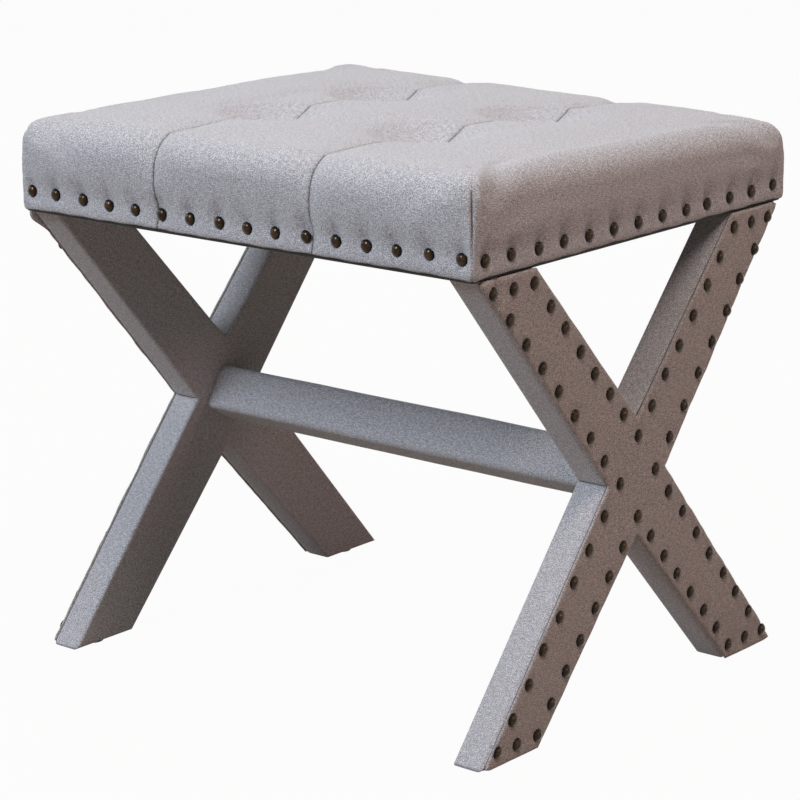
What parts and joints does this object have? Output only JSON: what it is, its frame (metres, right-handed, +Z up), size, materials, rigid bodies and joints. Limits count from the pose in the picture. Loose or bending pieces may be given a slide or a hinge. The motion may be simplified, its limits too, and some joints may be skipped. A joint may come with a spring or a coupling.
{
  "type": "accent stool",
  "caption": "Square upholstered stool with a tufted, nail-trimmed seat on padded X-shaped leg frames joined by a low stretcher.",
  "frame": {"origin": "on the floor, under the middle of the seat", "axes": "+Z up, X along the stretcher from one leg frame to the other, Y from the front of the seat to its back"},
  "size_m": [0.483, 0.411, 0.459],
  "materials": {
    "linen": "heathered light grey linen weave",
    "batting": "loose white polyester wadding",
    "foam": "open-cell cushion foam",
    "plywood": "raw plywood",
    "hardwood": "raw planed timber",
    "steel": "zinc-plated steel",
    "twine": "waxed twine",
    "fibre_washer": "pressed fibre",
    "dust_cloth": "black non-woven cloth",
    "antique_bronze": "dark antique bronze, lightly rubbed on the crown",
    "glide_plastic": "dark moulded plastic"
  },
  "bodies": {
    "root": {"seat_cover": "linen", "seat_batting": "batting", "seat_foam": "foam", "seat_deck": "plywood", "rail_front": "hardwood", "rail_back": "hardwood", "rail_left": "hardwood", "rail_right": "hardwood", "corner_blocks": "hardwood", "rail_screws": "steel", "deck_screws": "steel", "insert_nuts": "steel", "tuft_twine": "twine", "tuft_washers": "fibre_washer", "dust_cover": "dust_cloth", "dust_staples": "steel", "seat_nails_front": "antique_bronze", "seat_nails_back": "antique_bronze", "seat_nails_left": "antique_bronze", "seat_nails_right": "antique_bronze", "left_bar_a": "hardwood", "left_bar_b": "hardwood", "left_wrap": "linen", "left_panel": "linen", "left_nails": "antique_bronze", "left_glides": "glide_plastic", "right_bar_a": "hardwood", "right_bar_b": "hardwood", "right_wrap": "linen", "right_panel": "linen", "right_nails": "antique_bronze", "right_glides": "glide_plastic", "leg_bolts": "steel", "stretcher_core": "hardwood", "stretcher_wrap": "linen", "stretcher_dowels": "hardwood", "stretcher_bolts": "steel", "stretcher_washers": "steel", "cross_nuts": "steel"}
  },
  "joints": []
}
